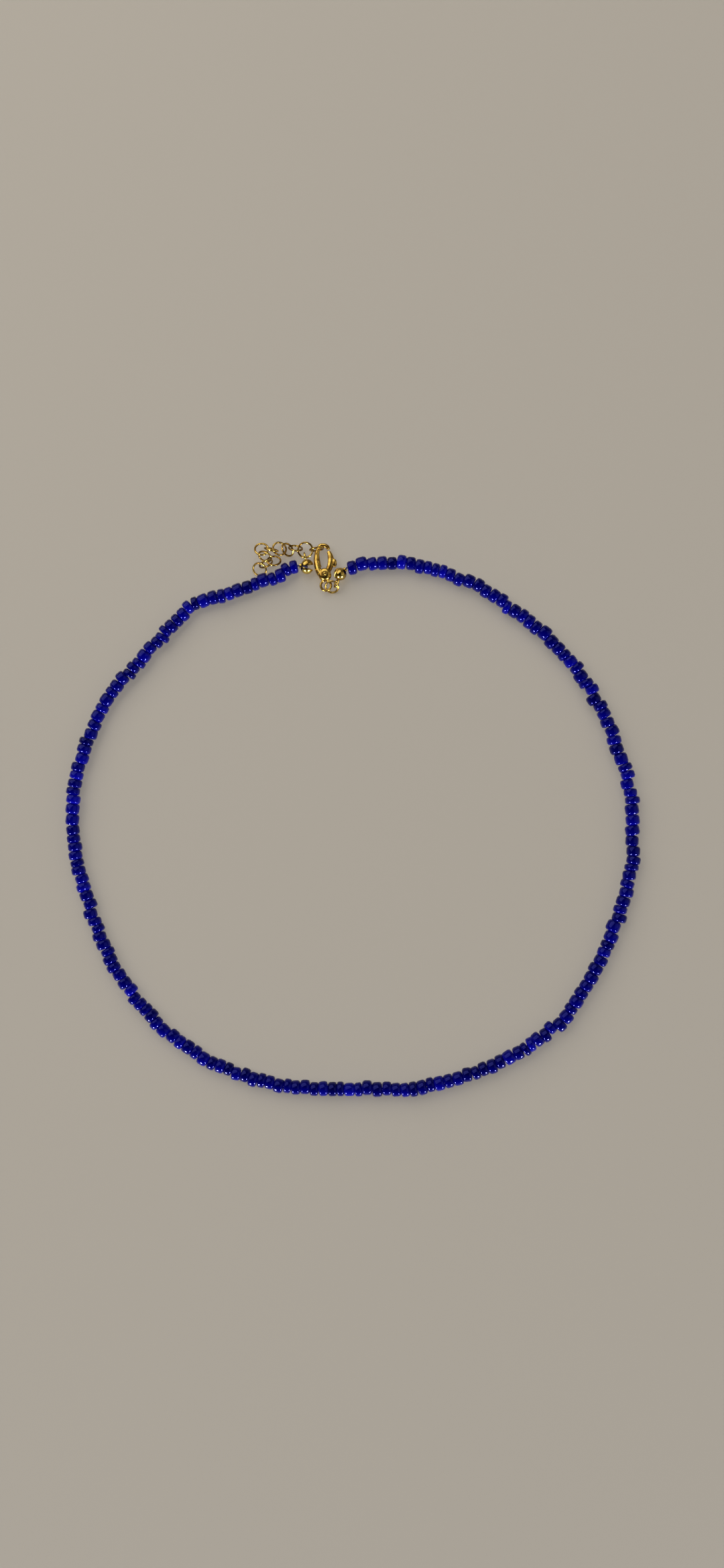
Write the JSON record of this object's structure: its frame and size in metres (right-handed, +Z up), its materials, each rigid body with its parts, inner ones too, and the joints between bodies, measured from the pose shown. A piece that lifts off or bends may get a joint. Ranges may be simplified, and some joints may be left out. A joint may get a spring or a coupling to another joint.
{
  "type": "seed bead wrap bracelet",
  "caption": "Strand of small round blue glass beads laid in a loop, closed by a lobster clasp with a short extender chain.",
  "frame": {"origin": "the middle of the footprint, on the surface that the strand lies on", "axes": "+Z up; +Y from the loop's middle towards the clasp's side; +X to the right seen from above"},
  "size_m": [0.123, 0.1186, 0.0037],
  "materials": {
    "glass_beads": "glossy opaque glass",
    "knot_cover_metal": "polished gold-coloured plating",
    "clasp_metal": "cast, tumbled, gold-coloured plating",
    "ring_metal": "drawn wire, gold-coloured plating"
  },
  "bodies": {
    "strand": {"bead_string": "glass_beads", "knot_cover_left": "knot_cover_metal", "knot_cover_right": "knot_cover_metal", "clasp_body": "clasp_metal", "clasp_rivet": "clasp_metal", "chain_end_ring": "ring_metal", "chain_link_held": "ring_metal", "chain_link_01": "ring_metal", "chain_link_02": "ring_metal", "chain_link_03": "ring_metal", "chain_link_04": "ring_metal", "chain_link_05": "ring_metal", "chain_link_06": "ring_metal", "chain_link_07": "ring_metal", "chain_link_08": "ring_metal", "chain_link_09": "ring_metal", "jump_ring": "ring_metal"},
    "lever": {"clasp_lever": "clasp_metal"}
  },
  "joints": [
    {"name": "clasp_lever_hinge", "type": "hinge", "parent": "strand", "child": "lever", "pos_m": [-0.00541, 0.05195, 0.0011], "axis": [0, 0, 1], "range_deg": [0, 18], "stiffness_Nm_per_rad": 0.001}
  ]
}
